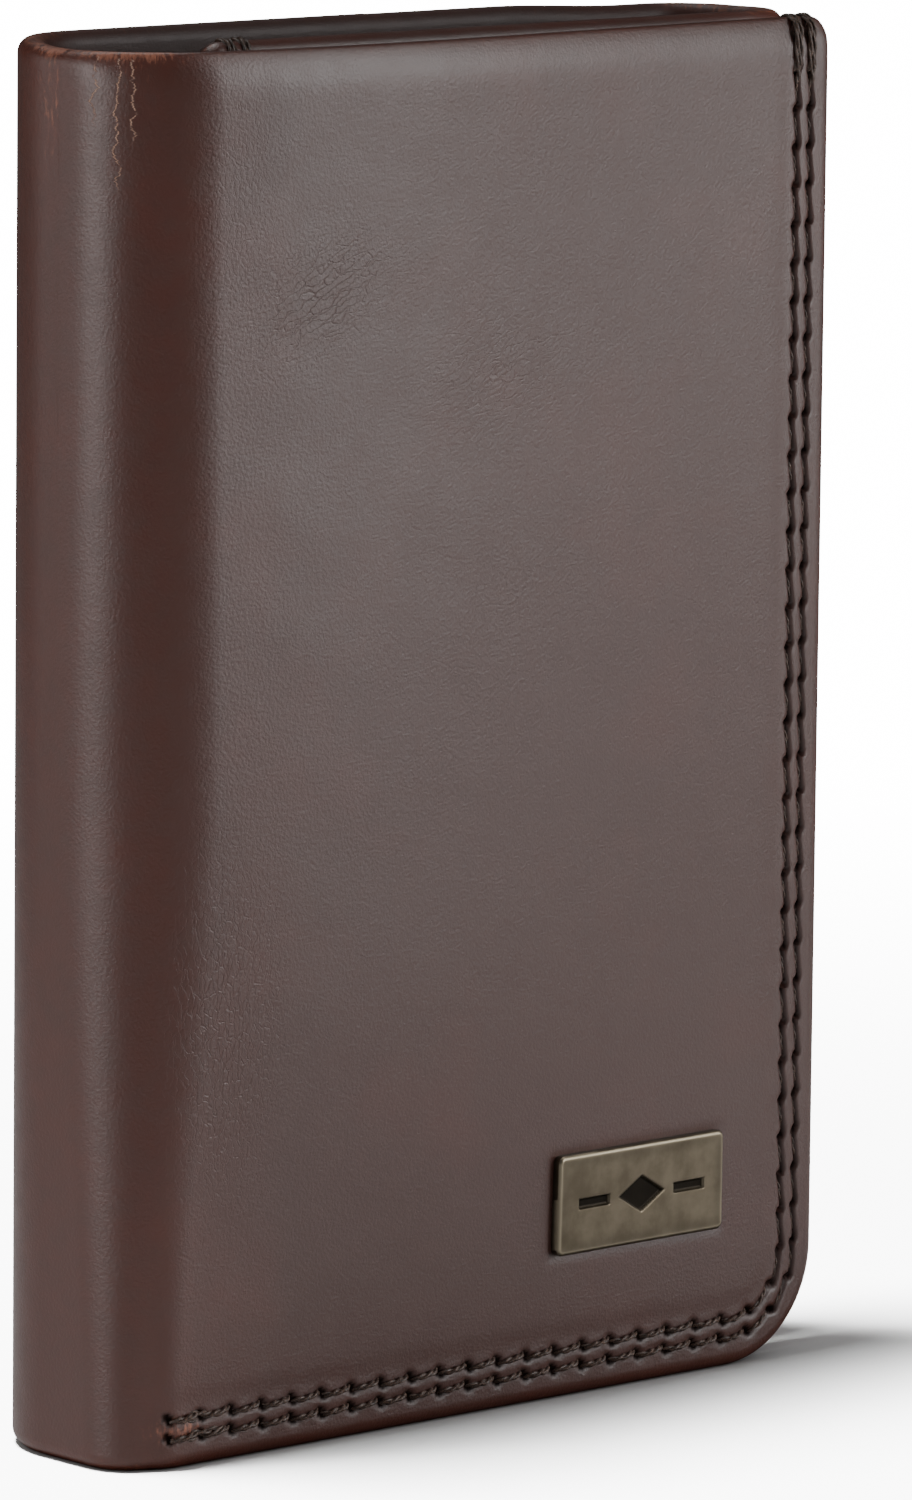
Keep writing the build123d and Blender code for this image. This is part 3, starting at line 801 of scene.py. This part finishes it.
def paint_wear(piece, sheet, border, s, z, depth):
    """Redder leather on the bends and edges, tan wear on the head edge of the spine and the corners."""
    bend = (sheet.run + sheet.bend_end) / 2
    on_bend = hump(s, bend, sheet.radius * 0.9)
    top_edge = hump(HEIGHT - z, 0.0, 0.9)
    foot_edge = hump(z, 0.0, 1.2)
    end_edge = hump(border.end - s, 0.0, 1.0) * border.free
    wrap = 1 - smooth(s, sheet.bend_end - 5, sheet.bend_end + 1)
    red = 0.35 + 0.5 * wrap + 0.4 * top_edge + 0.35 * foot_edge + 0.2 * end_edge
    red -= 0.35 * smooth(s, sheet.bend_end, sheet.bend_end + 12)
    wear = 0.50 * wrap * hump(HEIGHT - z, 0.0, 0.6) + 0.15 * top_edge * (depth > 0.4)
    wear += 0.25 * foot_edge * on_bend + 0.4 * end_edge * top_edge + 0.22 * end_edge * foot_edge
    crease, crack, strain = 0 * s, 0 * s, 0 * s
    if sheet is FRONT:
        start = FRONT_SEAM.rows[0][1]
        wear += 0.62 * hump(s, start + 1.0, 3.2) * hump(z, sum(SEAM_INSETS) / 2 - 0.1, 1.1)
        down = HEIGHT - z
        outside = depth < COVER / 2
        crack = (1 - smooth(down, 0, CRACKED)) * outside
        wear += 0.25 * hump(s, FRONT.bend_end - 6.5, 4.0) * hump(down, 0, 2.5)
        crease = crease_patches(s, z) * outside
        strain = strain_patches(s, z) * outside
    if sheet is SPINE:
        rubbed = hump(s, SPINE.run - 0.8, 1.8) * hump(HEIGHT - z, 4, 6)
        red += 0.5 * rubbed
        wear += 0.42 * rubbed
    masks = {"red": red, "strain": strain, "wear": wear, "crease": crease, "crack": crack}
    for name, values in masks.items():
        paint(piece, name, values)


make_cover("front_leather", FRONT, FRONT_SEAM, 0.30, front_relief, "front_cover", "spine_cover")
make_cover("spine_leather", SPINE, SPINE_SEAM, 0.45, SPINE_SEAM.height, "spine_cover", "centre_cover")
make_cover("back_leather", BACK, BACK_SEAM, 0.45, BACK_SEAM.height, "centre_cover", "fold_cover")
make_cover("inner_flap_leather", INNER, INNER_SEAM, 0.4, INNER_SEAM.height, "inner_cover", "fold_cover")


# -------- linings and dividers
def thin_sheet(name, sheet, border, depths, material, step=1.0, bend=True):
    """Thin closed sheet with a half-round edge; its dense face is the inner one."""
    near, far = depths
    radius = (far - near) / 2
    us = unit(graded((border.start, 0.2), (border.start + 0.6, step), (border.end, step)))
    vs = unit(graded((border.low, step), (border.high, step)))
    rings = [(inset, far + near - depth) for inset, depth in roll(radius, 4, near)]
    return slab(name, sheet, border, us, vs, rings, material, bend=bend)


LINING_INSET = HEM_WIDTH + 0.15
for sheet, label, cads in (
    (FRONT, "front", ("front", "spine")),
    (SPINE, "spine", ("spine", "centre")),
    (BACK, "back", ("centre", "fold")),
    (INNER, "inner", ("inner", "fold")),
):
    free = int(sheet in (FRONT, INNER))
    end, top = sheet.length - free * LINING_INSET, HEIGHT - LINING_INSET
    inside = Border(0.0, end, LINING_INSET, top, free, 5.0, 0.5)
    lining = thin_sheet(f"{label}_lining_cloth", sheet, inside, LINING_DEPTHS, LINING_CLOTH)
    finish_piece(lining, "lining", *[f"{cad}_lining" for cad in cads])
    whole = Border(0.0, sheet.length, 0.0, DIVIDER_TOP, free)
    wall = thin_sheet(f"{label}_divider_leather", sheet, whole, DIVIDER_DEPTHS, INNER_LEATHER)
    finish_piece(wall, "inner_leather", *[f"{cad}_divider" for cad in cads])


# -------- stitches
class Thread:
    """Two-ply twisted thread, built up strand by strand in the leather coordinates of one sheet."""

    CORNERS, PLIES = 6, 2
    PLY, TWIST = 0.135, 0.115    # radius of a ply, and of the helix it follows
    DIVE = 0.90                  # how deep a stitch dives into its holes
    TURNS = 1.7                  # twist of the plies in one stitch
    SHARE = np.linspace(0, 1, 11)

    def __init__(self, sheet):
        self.sheet, self.coords, self.faces, self.count = sheet, [], [], 0

    def strand(self, centre, across, turns, thick=1.0):
        """Thread along a path of (s, z, depth) points; across is a direction beside the path."""
        tangent = np.gradient(centre, axis=0)
        tangent /= np.linalg.norm(tangent, axis=1, keepdims=True)
        side = across - (across * tangent).sum(axis=1, keepdims=True) * tangent
        side /= np.linalg.norm(side, axis=1, keepdims=True)
        up = np.cross(tangent, side)
        steps = len(centre)
        phase = RANDOM.uniform(0, 2 * math.pi)
        for part in range(self.PLIES):
            turn = 2 * math.pi * (turns * np.linspace(0, 1, steps) + part / self.PLIES) + phase
            around = np.cos(turn)[:, None] * side + np.sin(turn)[:, None] * up
            middle = centre + thick * self.TWIST * around
            for c in range(self.CORNERS):
                angle = 2 * math.pi * c / self.CORNERS
                reach = thick * self.PLY
                self.coords.append(middle + reach * (math.cos(angle) * side + math.sin(angle) * up))
            self.faces += tube(self.count, self.CORNERS, steps)
            self.count += self.CORNERS * steps

    def stitch(self, s, z, level, out_s, out_z, aside, thick=1.0):
        """One stitch along a path, moved aside in the direction (out_s, out_z)."""
        across = np.stack([out_s, out_z, 0 * s], axis=1)
        path = np.stack([s, z, level], axis=1) + across * aside[:, None]
        self.strand(path, across, self.TURNS, thick)

    def row(self, seam, row, inside=None):
        """Stitches from hole to hole along one row; inside gives their depth on the pocket side."""
        inset, start, pitch, count = row
        t = self.SHARE
        for k in range(count):
            s, z, out_s, out_z = seam.border.seam(start + (k + t) * pitch, inset)
            aside = SLANT * (0.5 - t) + RANDOM.normal(0, UNEVEN)
            dive = self.DIVE * np.abs(2 * t - 1) ** 3
            level = inside(z) - dive * HOLE_SHARE if inside else dive + 0.42 * out_s - 0.16
            thick = 1 + 0 * out_s if inside else 1.08 - 0.45 * out_s
            self.stitch(s, z, level, out_s, out_z, aside, thick[:, None])

    def line(self, start, end, depth):
        """Straight row of stitches on the pocket side, between two (s, z) points."""
        start, end = np.array(start), np.array(end)
        length = np.hypot(*(end - start))
        count = int(length // STITCH)
        ahead = (end - start) / length
        t = self.SHARE
        for k in range(count):
            s, z = (start + np.outer((k + t) / count, end - start)).T
            level = depth - self.DIVE * HOLE_SHARE * np.abs(2 * t - 1) ** 3
            aside = SLANT * (0.5 - t) + RANDOM.normal(0, UNEVEN)
            self.stitch(s, z, level, ahead[1] + 0 * t, -ahead[0] + 0 * t, aside)

    def tack(self, seam, row, first, last):
        """Back-tack: short stitches laid over and beside the ones already there."""
        inset, start, pitch, _ = row
        t = self.SHARE
        for position in np.arange(first, last, 0.5):
            s, z, out_s, out_z = seam.border.seam(start + (position + t) * pitch, inset)
            aside = RANDOM.uniform(-0.28, 0.28) + 0.3 * (t - 0.5)
            level = 0.02 + 0.7 * np.abs(2 * t - 1) ** 3
            self.stitch(s, z, level, out_s, out_z, aside)

    def wrap(self, s, z_down, thick):
        """Loop over the head edge at distance s, from z_down on one face to z_down on the other."""
        angles = np.linspace(0, math.pi, 13)
        reach = thick / 2 + 0.02
        down = np.linspace(z_down, HEIGHT - reach, 8)[:-1]
        z = np.concatenate([down, HEIGHT - reach + (reach + 0.05) * np.sin(angles), down[::-1]])
        level = np.concatenate(
            [0 * down - 0.06, thick / 2 - (reach + 0.02) * np.cos(angles), 0 * down + thick + 0.06]
        )
        level[0] += 0.6
        level[-1] -= 0.6
        centre = np.stack([s + 0 * z, z, level], axis=1)
        self.strand(centre, np.tile([1.0, 0.0, 0.0], (len(z), 1)), 0.6 * (HEIGHT - z_down) + 1)

    def piece(self, name, node, body=None):
        """The finished object in the place of a CAD node; with a body it is attached to that body, without one its
        placement is baked into its mesh.
        """
        coords = np.concatenate(self.coords)
        points = self.sheet.place(coords[:, 0], coords[:, 1], coords[:, 2])
        thread = new_mesh(name, points, self.faces, THREAD, 60)
        outward(thread)
        store_leather(thread, self.sheet, coords)
        finish_piece(thread, "thread", node)
        if body:
            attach(thread, body)
        else:
            self.sheet.bend(thread)


def free_edge_threads(label, sheet, seam):
    """Both rows of a flap's seam, tacked at the start and wrapped over the head edge at the end."""
    thread = Thread(sheet)
    for row in seam.rows:
        inset, _, _, count = row
        thread.row(seam, row)
        thread.tack(seam, row, 0.0, 1.4)
        thread.tack(seam, row, count - 1.6, count - 0.6)
        for beside in (-0.22, 0.2):
            thread.wrap(seam.border.end - inset + beside, HEIGHT - 4.2 + beside, HEM)
    thread.piece(f"{label}_seam_stitches", f"{label}_seam_threads")


free_edge_threads("front", FRONT, FRONT_SEAM)
free_edge_threads("inner", INNER, INNER_SEAM)

for sheet, seam, side in ((SPINE, SPINE_SEAM, "left"), (BACK, BACK_SEAM, "right")):
    thread = Thread(sheet)
    for row in seam.rows:
        thread.row(seam, row)
        thread.tack(seam, row, 0.0, 1.0)
    thread.piece(f"back_{side}_stitches", "centre_seam_threads", "centre_panel")


# -------- card pockets, stiffener and washer
def flat_part(node, label, sheet, face_y, far_end, foot, slot, material, step):
    """Thin sheet on the flat of a panel, at the place of its CAD node, that follows the panel's crown."""
    low, high = node_box(node)
    start, end = sorted((float(sheet.along(low[0])), float(sheet.along(high[0]))))
    depths = (low[1] - face_y, high[1] - face_y)
    border = Border(start, min(end, far_end), low[2], high[2], 1, foot, 0.6)
    part = thin_sheet(f"{node}_{label}", sheet, border, depths, material, step, bend=False)
    finish_piece(part, slot, node)


def pocket_threads(name, sheet, seam, face_y, pockets):
    """Both rows of a flap's seam as they show inside; they step down where a pocket ends."""
    tops = [node_box(pocket)[1] for pocket in pockets]
    wall = node_box(f"{name}_divider")[1][1] - face_y

    def depth(z):
        level = wall + 0 * z
        for top in tops:
            level = np.where(z < top[2], np.maximum(level, top[1] - face_y), level)
        return level + 0.1

    thread = Thread(sheet)
    upright = DIVIDER_TOP - 4.0 - seam.border.foot
    for inset, start, pitch, count in seam.rows:
        level = seam.border.end - seam.border.foot - start
        inside = int(upright // pitch) + int(level // pitch)
        thread.row(seam, (inset, start, pitch, min(count, inside)), depth)
    thread.piece(f"{name}_pocket_stitches", f"{name}_pocket_threads", sheet.panel)


for name, sheet, seam, face_y, places in (
    ("front", FRONT, FRONT_SEAM, FRONT_Y, ("lower", "middle", "upper")),
    ("inner", INNER, INNER_SEAM, INNER_Y, ("lower", "upper")),
):
    pockets = [f"{name}_{place}_pocket" for place in places]
    look = ("inner_leather", INNER_LEATHER, 0.8)
    for pocket in pockets:
        flat_part(pocket, "leather", sheet, face_y, sheet.length, FOOT_RADIUS, *look)
    pocket_threads(name, sheet, seam, face_y, pockets)

for node, label, slot, material in (
    ("front_stiffener", "board", "stiffener", BOARD),
    ("plaque_washer", "plate", "washer_steel", STEEL),
):
    flat_part(node, label, FRONT, FRONT_Y, FRONT.length - LINING_INSET, 4.0, slot, material, 2.0)


# -------- identity window
def window_strip(node, outer, inner, material, bulge=0.0):
    """Closed band between two paths of (x, z) points, with half-round edges, in a CAD node's depth."""
    low, high = node_box(node)
    radius = (high[1] - low[1]) / 2
    rounds = roll(radius, 6)
    outer, inner = np.array(outer), np.array(inner)
    width = np.linalg.norm(inner - outer, axis=1, keepdims=True)
    inward = (inner - outer) / width
    spread = [0.25, 0.5, 0.75]
    section = [(outer + inward * inset, low[1] + depth, 0.0) for inset, depth in rounds[::-1]]
    section += [(outer + inward * width * share, low[1], share) for share in spread]
    section += [(inner - inward * inset, low[1] + depth, 0.0) for inset, depth in rounds]
    section += [(outer + inward * width * share, high[1], share) for share in spread[::-1]]
    steps, points = len(outer), []
    wave = np.sin(np.linspace(0, 9, steps))
    for place, y, share in section:
        y = y + bulge * math.sin(math.pi * share) * wave
        points.append(np.stack([place[:, 0], y + 0 * place[:, 0], place[:, 1]], axis=1))
    faces = tube(0, len(section), steps)
    piece = new_mesh(f"{node}_piece", np.concatenate(points), faces, material)
    outward(piece)
    finish_piece(piece, SLOTS[node], node)
    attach(piece, "centre_panel")


def matched(points, others, step):
    """Two paths with the same corners and the same number of steps along each run."""
    first, second = [], []
    for a, b, c, d in zip(points, points[1:], others, others[1:]):
        count = max(1, math.ceil(math.dist(a, b) / step))
        share = np.arange(count)[:, None] / count
        first.append(np.array(a) + (np.array(b) - a) * share)
        second.append(np.array(c) + (np.array(d) - c) * share)
    first.append(np.array([points[-1]]))
    second.append(np.array([others[-1]]))
    return np.concatenate(first), np.concatenate(second)


SPACER = 2.2                 # width of the spacer round the window
FRAME_SIDE = 7.0             # width of the frame beside the opening
FRAME_FOOT = 9.0
OPENING_TOP = 84.0
NOTCH = 9.0                  # radius of the thumb notch


def make_window():
    """Edge spacer, clear film and leather frame with a thumb notch, stitched round three sides."""
    low, high = node_box("window_frame")
    left, right, top = low[0], high[0], high[2]
    mid = (left + right) / 2
    inside = [(left + SPACER, top), (left + SPACER, SPACER), (right - SPACER, SPACER), (right - SPACER, top)]
    outside = [(left, top), (left, 0), (right, 0), (right, top)]
    window_strip("window_spacer", *matched(outside, inside, 3.0), FLAT_LEATHER)
    film_top = node_box("window_film")[1][2]
    film_sides = matched([(left, film_top), (left, 0)], [(right, film_top), (right, 0)], 3.0)
    window_strip("window_film", *film_sides, FILM, 0.04)
    lip = math.sqrt(NOTCH**2 - (top - OPENING_TOP) ** 2)
    outer = [(mid - NOTCH, top), *outside, (mid + NOTCH, top)]
    inner = [
        (mid - lip, OPENING_TOP),
        (left + FRAME_SIDE, OPENING_TOP),
        (left + FRAME_SIDE, FRAME_FOOT),
        (right - FRAME_SIDE, FRAME_FOOT),
        (right - FRAME_SIDE, OPENING_TOP),
        (mid + lip, OPENING_TOP),
    ]
    window_strip("window_frame", *matched(outer, inner, 1.5), FLAT_LEATHER)
    depth = BACK_Y - low[1] + 0.1
    inset = SEAM_INSETS[0]
    for sheet, edge, side_name in ((SPINE, left + inset, "left"), (BACK, right - inset, "right")):
        thread = Thread(sheet)
        corner = float(sheet.along(edge))
        thread.line((corner, top - 3.0), (corner, inset), depth)
        thread.line((corner, inset), (sheet.length, inset), depth)
        thread.piece(f"window_{side_name}_stitches", "window_threads", "centre_panel")


make_window()


# -------- plaque
PLAQUE_STEP = 0.09
PLAQUE_CORNER = 0.6
LOZENGE = (2.5, 1.5)         # half width and half height
BAR = (1.7, 0.45)
BAR_PLACE = 5.2              # from the middle of the plaque
ENGRAVED = 0.26
BEVEL = 0.18


def make_plaque():
    """Flat brushed brass plate with a bevelled rim and a plain engraved motif: a lozenge between bars."""
    low, high = PLAQUE_LOW, PLAQUE_HIGH
    half_x, half_z = (high[0] - low[0]) / 2, (high[2] - low[2]) / 2
    mid_x, mid_z = (low[0] + high[0]) / 2, (low[2] + high[2]) / 2
    corner = PLAQUE_CORNER
    u = np.linspace(-1, 1, round(2 * half_x / PLAQUE_STEP))
    v = np.linspace(-1, 1, round(2 * half_z / PLAQUE_STEP))
    gu, gv = np.meshgrid(u, v, indexing="ij")
    x, z = gu * half_x, gv * half_z
    core_x, core_z = half_x - corner, half_z - corner
    a = np.clip((np.abs(x) - core_x) / corner, 0, 1)
    b = np.clip((np.abs(z) - core_z) / corner, 0, 1)
    both = (a > 0) & (b > 0)
    out, up = round_corner(a, b, corner)
    x = np.where(both, np.sign(x) * (core_x + out), x)
    z = np.where(both, np.sign(z) * (core_z + up), z)
    qx, qz = np.abs(x) - core_x, np.abs(z) - core_z
    inset = corner - np.hypot(np.maximum(qx, 0), np.maximum(qz, 0)) - np.minimum(np.maximum(qx, qz), 0)
    lozenge = LOZENGE[1] * (1 - np.abs(x) / LOZENGE[0] - np.abs(z) / LOZENGE[1])
    bars = np.minimum(BAR[0] - np.abs(np.abs(x) - BAR_PLACE), BAR[1] - np.abs(z))
    engraved = smooth(np.maximum(lozenge, bars), -0.02, 0.16)
    bevel = BEVEL * (1 - smooth(inset, 0.0, 0.28)) ** 2
    drop = engraved * ENGRAVED + bevel
    points = np.stack([mid_x + x, low[1] + drop, mid_z + z], axis=-1).reshape(-1, 3)
    index, quads = grid(*x.shape)
    faces = quads.tolist()
    ring = np.concatenate([index[:, 0], index[-1, 1:], index[-2::-1, -1], index[0, -2:0:-1]])
    back = points[ring].copy()
    back[:, 1] = FRONT_Y + 0.25
    base = len(points)
    count = len(ring)
    for part in (points, back):
        part[:, 1] -= front_crown(FRONT.along(part[:, 0]), part[:, 2])
    for i in range(count):
        j = (i + 1) % count
        faces.append([int(ring[i]), base + i, base + j, int(ring[j])])
    faces.append([base + i for i in range(count)])
    piece = new_mesh("brass_plaque", np.concatenate([points, back]), faces, BRASS, 50)
    outward(piece)
    rim = 0.75 * hump(inset, 0.20, 0.12) + 0.5 * hump(engraved, 0.25, 0.2)
    paint(piece, "rim", np.concatenate([rim.ravel(), np.zeros(count)]))
    hollow = np.maximum(smooth(engraved, 0.4, 0.9), 0.25 * hump(inset, 0.6, 0.5))
    paint(piece, "hollow", np.concatenate([hollow.ravel(), np.full(count, 0.8)]))
    finish_piece(piece, "plaque_brass", "plaque")
    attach(piece, "front_flap")


make_plaque()

# -------- materials of the CAD nodes
# They show on the two hidden boards, which have no piece of their own.
CAD_LOOKS = {
    "cover_leather": FLAT_LEATHER,
    "inner_leather": FLAT_LEATHER,
    "lining": LINING_CLOTH,
    "stiffener": BOARD,
    "thread": THREAD,
    "plaque_brass": BRASS,
    "washer_steel": STEEL,
    "clear_film": FILM,
}
for node, cad in frame["nodes"].items():
    cad.data.materials.clear()
    cad.data.materials.append(CAD_LOOKS[SLOTS[node]])


# -------- floor, lights and camera
def stage_floor():
    """Pale sweep: a floor that curves up into a backdrop far behind the wallet."""
    size, far_back, rise, radius = 3000.0, 1500.0, 1500.0, 500.0
    start = far_back - radius
    profile = [(-size, 0.0), (start, 0.0)]
    for angle in np.linspace(0, math.pi / 2, 12)[1:]:
        profile.append((start + radius * math.sin(angle), radius * (1 - math.cos(angle))))
    profile.append((far_back, rise))
    turn = math.radians(CAMERA_AZIMUTH)
    points, faces = [], []
    for away, up in profile:
        for sideways in (-size, size):
            x = sideways * math.cos(turn) - away * math.sin(turn)
            y = sideways * math.sin(turn) + away * math.cos(turn)
            points.append((x, y, up))
    for i in range(len(profile) - 1):
        faces.append([2 * i, 2 * i + 1, 2 * i + 3, 2 * i + 2])
    t = Look("pale_floor")
    # Its colour depends on who looks: the leather's gloss, soft bounced light or the camera.
    path = t.put("ShaderNodeLightPath")
    mirrored, seen = path.outputs["Is Glossy Ray"], path.outputs["Is Camera Ray"]
    colour = t.mix(seen, (0.14, 0.14, 0.14, 1), (0.85, 0.85, 0.85, 1))
    place = t.own_place()
    distance = t.put("ShaderNodeVectorMath", {0: place}, operation="LENGTH").outputs["Value"]
    t.set("Base Color", t.mix(mirrored, colour, t.ramp(distance, 0.05, 0.45, 0.055, 0.02)))
    t.set("Roughness", 0.9)
    t.set("Specular IOR Level", 0.0)
    far = t.multiply(t.ramp(distance, 0.08, 0.35), seen)
    glow = t.put("ShaderNodeEmission", {"Strength": 16.0}).outputs[0]
    blend = t.put("ShaderNodeMixShader", {0: far, 1: t.shader.outputs[0], 2: glow}).outputs[0]
    t.links.new(blend, t.nodes["Material Output"].inputs["Surface"])
    floor = new_mesh("floor", points, faces, t.material)
    return floor


def area_light(name, azimuth, height, distance, width, tall, radiance, on_floor="EXCLUDE"):
    """Softbox that looks at the middle of the wallet. Azimuth 0 is in front, positive to the right.

    The floor has a light of its own, so that its shadow stays short; the others leave it out."""
    a = math.radians(azimuth)
    place = Vector((math.sin(a) * distance, -math.cos(a) * distance, height)) * MM
    light = bpy.data.lights.new(name, "AREA")
    light.shape = "RECTANGLE"
    light.size, light.size_y = width * MM, tall * MM
    light.energy = radiance * math.pi * light.size * light.size_y
    lamp = bpy.data.objects.new(name, light)
    lamp.location = place
    lamp.rotation_euler = (place - Vector((0, 0, HEIGHT / 2 * MM))).to_track_quat("Z", "Y").to_euler()
    bpy.context.scene.collection.objects.link(lamp)
    receivers = bpy.data.collections.new(f"{name}_receivers")
    receivers.objects.link(FLOOR)
    receivers.collection_objects[0].light_linking.link_state = on_floor
    lamp.light_linking.receiver_collection = receivers
    return lamp


CAMERA_AZIMUTH = -42.35
CAMERA_ELEVATION = 8.6
CAMERA_ROLL = 0.59
CAMERA_DISTANCE = 779.5
CAMERA_SIDE = -30.1
CAMERA_UP = -4.86
CAMERA_LENS = 233.7          # on a 36 mm sensor along the long side of the picture


def make_camera():
    """Long lens at the front left, a little above the wallet."""
    a, e, r = (math.radians(v) for v in (CAMERA_AZIMUTH, CAMERA_ELEVATION, CAMERA_ROLL))
    back = Vector((math.sin(a) * math.cos(e), -math.cos(a) * math.cos(e), math.sin(e)))
    level = Vector((math.cos(a), math.sin(a), 0))
    upright = back.cross(level)
    right = level * math.cos(r) + upright * math.sin(r)
    up = upright * math.cos(r) - level * math.sin(r)
    origin = Vector((FRONT_HIGH[0], FRONT_Y, HEIGHT / 2))
    place = origin + back * CAMERA_DISTANCE + right * CAMERA_SIDE + up * CAMERA_UP
    data = bpy.data.cameras.new("camera")
    data.lens = CAMERA_LENS
    data.sensor_width = 36
    data.clip_start, data.clip_end = 0.01, 20
    camera = bpy.data.objects.new("camera", data)
    camera.matrix_world = Matrix.Translation(place * MM) @ Matrix((right, up, back)).transposed().to_4x4()
    bpy.context.scene.collection.objects.link(camera)
    bpy.context.scene.camera = camera


make_camera()
FLOOR = stage_floor()
for softbox in (                     # name, azimuth, height, distance, width, tall, radiance
    ("key_softbox", 34, 200, 500, 165, 400, 6.8),
    ("fill_softbox", 58, 190, 600, 320, 420, 1.25),
    ("upper_softbox", 36, 640, 560, 420, 360, 1.7),
    ("left_softbox", -93, 130, 520, 250, 420, 4.4),
    ("back_left_softbox", -132, 150, 520, 240, 420, 1.2),
    ("rim_softbox", 165, 900, 330, 500, 500, 3.0),
    ("floor_light", -129, 1000, 200, 230, 230, 710.0, "INCLUDE"),
):
    area_light(*softbox)
# Lights the brown of the foot of the front without adding a gloss.
foot_light = area_light("foot_light", 55, 45, 260, 240, 90, 9.0)
foot_light.visible_glossy = False

world = bpy.data.worlds.new("studio")
bpy.context.scene.world = world
sky = Tree(world)
background = sky.nodes["Background"]
path = sky.put("ShaderNodeLightPath")
glow = sky.add(sky.multiply(path.outputs["Is Diffuse Ray"], 0.35), 0.05)
glow = sky.add(glow, sky.multiply(path.outputs["Is Camera Ray"], 22.0))
sky.links.new(glow, background.inputs["Strength"])
background.inputs["Color"].default_value = (1, 1, 1, 1)
